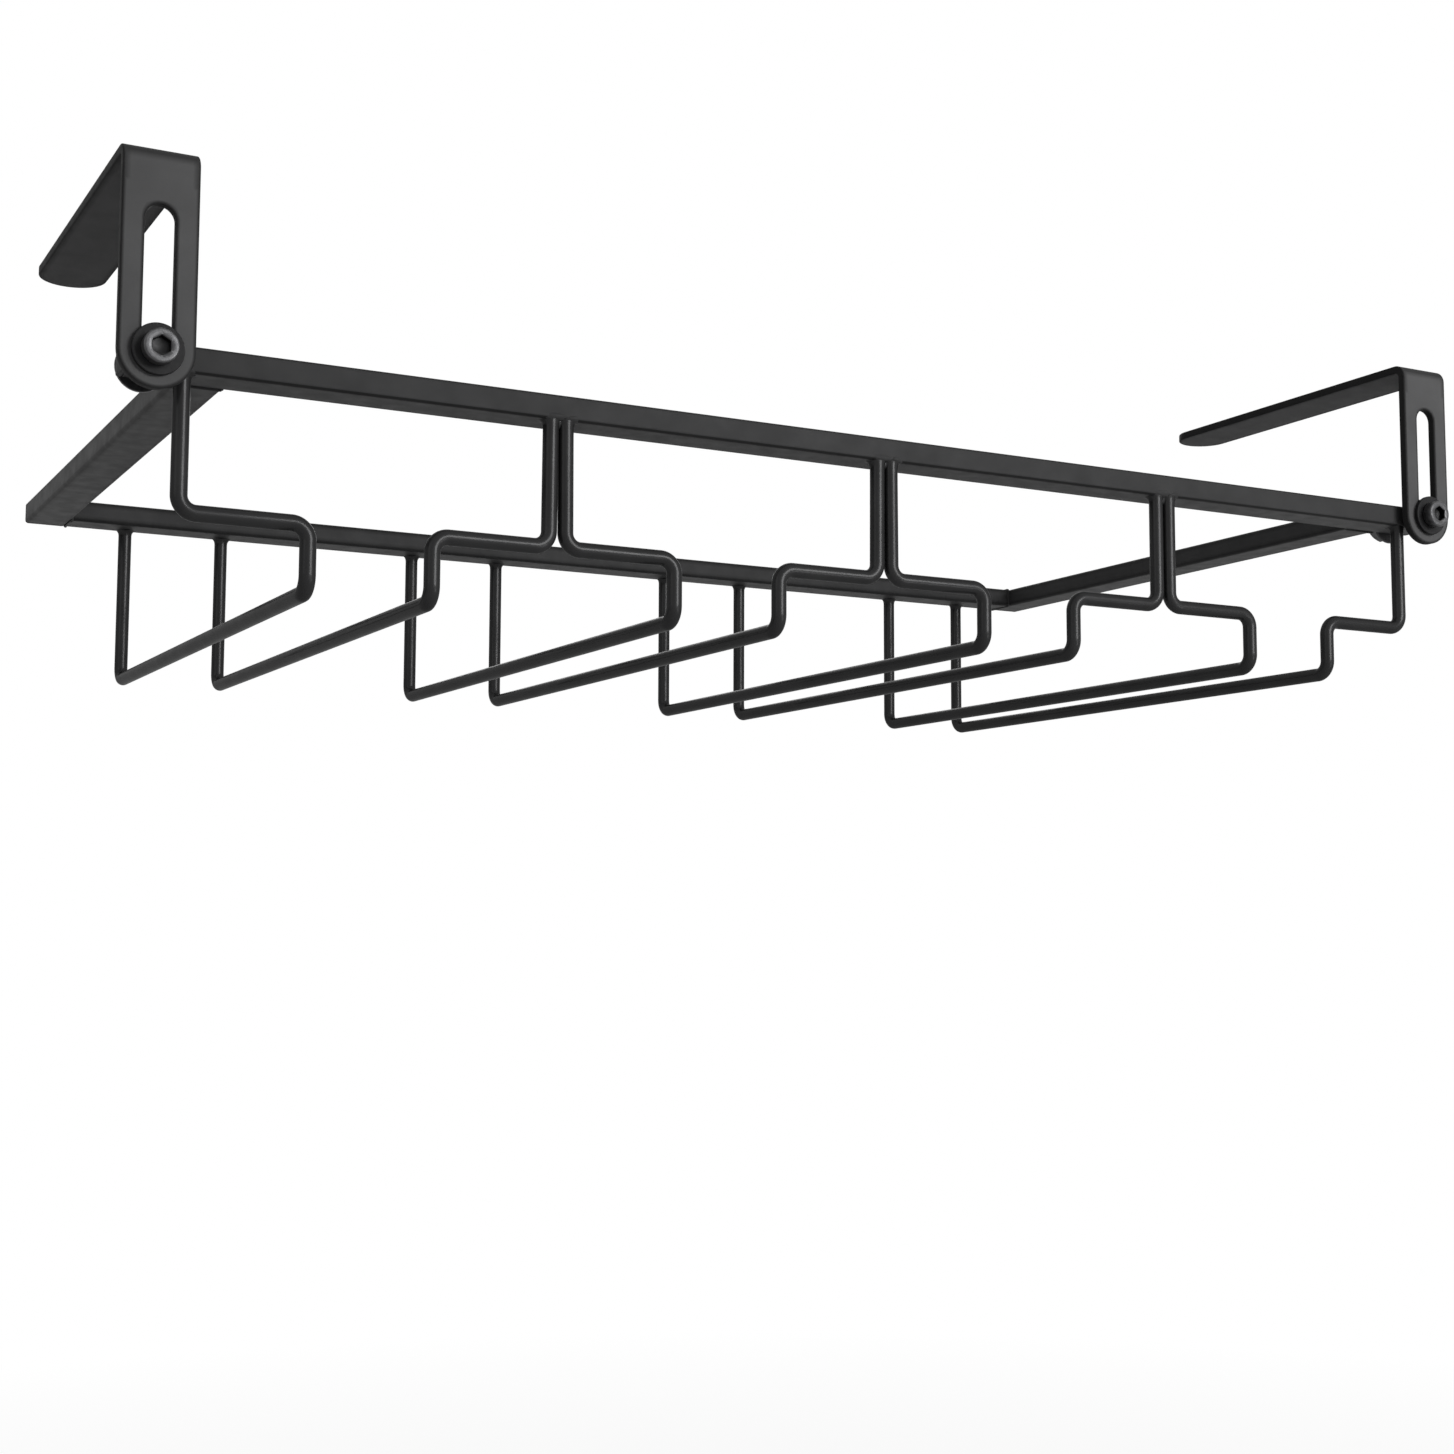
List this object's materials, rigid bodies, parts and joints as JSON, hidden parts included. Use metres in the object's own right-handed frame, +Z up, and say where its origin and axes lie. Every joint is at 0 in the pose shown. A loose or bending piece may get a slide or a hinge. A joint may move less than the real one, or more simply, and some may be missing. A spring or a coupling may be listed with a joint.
{
  "type": "hanging wine glass rack",
  "caption": "Under-shelf wine glass rack: a black flat-tube frame with bent-wire channels for stemware, hung on a shelf board by slotted hooks that slide and swing on clamp screws.",
  "frame": {"origin": "upper front edge of the shelf board, midway between the two hooks: the arms' undersides are z = 0 and the plates' backs are y = 0", "axes": "+X to the viewer's right along the front rail, +Y back under the shelf along the channels, +Z up"},
  "size_m": [0.5144, 0.2662, 0.126],
  "materials": {
    "frame_coat": "satin black powder coat on steel tube",
    "wire_coat": "satin black powder coat on steel wire",
    "hook_coat": "satin black powder coat on flat steel bar",
    "screw_steel": "black oxide on turned and forged steel",
    "nut_steel": "black oxide on forged steel",
    "washer_nylon": "black moulded nylon",
    "plug_plastic": "black moulded plastic"
  },
  "bodies": {
    "frame": {"front_rail": "frame_coat", "rear_rail": "frame_coat", "left_rail": "frame_coat", "right_rail": "frame_coat", "channel_1_left_wire": "wire_coat", "channel_1_right_wire": "wire_coat", "channel_2_left_wire": "wire_coat", "channel_2_right_wire": "wire_coat", "channel_3_left_wire": "wire_coat", "channel_3_right_wire": "wire_coat", "channel_4_left_wire": "wire_coat", "channel_4_right_wire": "wire_coat", "front_left_end_plug": "plug_plastic", "front_right_end_plug": "plug_plastic", "rear_left_end_plug": "plug_plastic", "rear_right_end_plug": "plug_plastic", "left_flange_nut": "nut_steel", "right_flange_nut": "nut_steel"},
    "left_washer": {"left_shoulder_washer": "washer_nylon"},
    "left_screw": {"left_clamp_screw": "screw_steel"},
    "left_pivot": {"left_spacer": "washer_nylon"},
    "left_hanger": {"left_hook": "hook_coat"},
    "right_washer": {"right_shoulder_washer": "washer_nylon"},
    "right_screw": {"right_clamp_screw": "screw_steel"},
    "right_pivot": {"right_spacer": "washer_nylon"},
    "right_hanger": {"right_hook": "hook_coat"}
  },
  "joints": [
    {"name": "left_screw_out", "type": "slide", "parent": "frame", "child": "left_washer", "axis": [0, -1, 0], "range_m": [0, 0.002]},
    {"name": "left_screw_turn", "type": "hinge", "parent": "left_washer", "child": "left_screw", "pos_m": [-0.2462, 0, -0.0565], "axis": [0, -1, 0], "range_deg": [0, 720]},
    {"name": "left_hook_swing", "type": "hinge", "parent": "frame", "child": "left_pivot", "pos_m": [-0.2462, 0, -0.0565], "axis": [0, 1, 0], "range_deg": [-90, 30]},
    {"name": "left_hook_slide", "type": "slide", "parent": "left_pivot", "child": "left_hanger", "axis": [0, 0, 1], "range_m": [-0.038, 0]},
    {"name": "right_screw_out", "type": "slide", "parent": "frame", "child": "right_washer", "axis": [0, -1, 0], "range_m": [0, 0.002]},
    {"name": "right_screw_turn", "type": "hinge", "parent": "right_washer", "child": "right_screw", "pos_m": [0.2462, 0, -0.0565], "axis": [0, -1, 0], "range_deg": [0, 720]},
    {"name": "right_hook_swing", "type": "hinge", "parent": "frame", "child": "right_pivot", "pos_m": [0.2462, 0, -0.0565], "axis": [0, -1, 0], "range_deg": [-90, 30]},
    {"name": "right_hook_slide", "type": "slide", "parent": "right_pivot", "child": "right_hanger", "axis": [0, 0, 1], "range_m": [-0.038, 0]}
  ],
  "couplings": [
    {"joint": "left_screw_out", "follows": "left_screw_turn", "m_per_rad": 0.00015915},
    {"joint": "right_screw_out", "follows": "right_screw_turn", "m_per_rad": 0.00015915}
  ]
}
